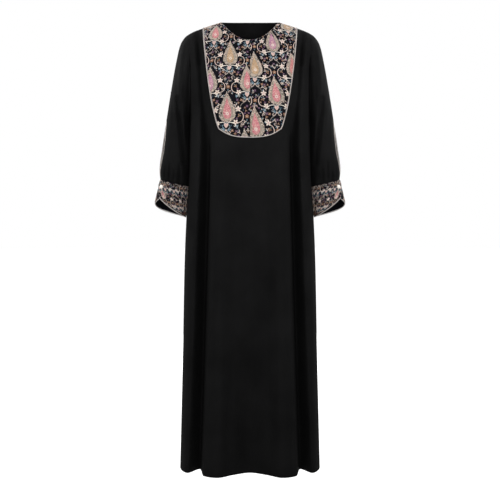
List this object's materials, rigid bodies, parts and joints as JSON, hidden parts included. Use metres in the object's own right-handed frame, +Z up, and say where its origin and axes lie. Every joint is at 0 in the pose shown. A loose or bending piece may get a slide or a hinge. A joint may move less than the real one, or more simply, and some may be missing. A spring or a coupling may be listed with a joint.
{
  "type": "butterfly abaya",
  "caption": "Floor-length robe cut in one with its sleeves, with an embroidered U-shaped bib, sleeves slit above embroidered tulip cuffs, pearl buttons and piped edges.",
  "frame": {"origin": "middle of the shoulder line at the height of the two neck points, in the plane of the shoulder and side seams", "axes": "+Z up, the robe faces -Y, +X towards the wearer's left"},
  "size_m": [0.602, 0.3218, 1.4113],
  "materials": {
    "crepe": "matt black crepe",
    "embroidery": "black ground closely worked with cream, rose and blue thread",
    "piping": "pale satin piping",
    "pearl": "pearl gloss"
  },
  "bodies": {
    "root": {"front": "crepe", "back": "crepe", "front_sleeve_left": "crepe", "front_sleeve_right": "crepe", "back_sleeve_left": "crepe", "back_sleeve_right": "crepe", "bib_left": "embroidery", "bib_right": "embroidery", "bib_piping": "piping", "slit_piping_front_left": "piping", "slit_piping_back_left": "piping", "slit_piping_front_right": "piping", "slit_piping_back_right": "piping", "cuff_left": "embroidery", "cuff_right": "embroidery", "cuff_piping_left": "piping", "cuff_piping_right": "piping", "button_left": "pearl", "button_right": "pearl"}
  },
  "joints": []
}
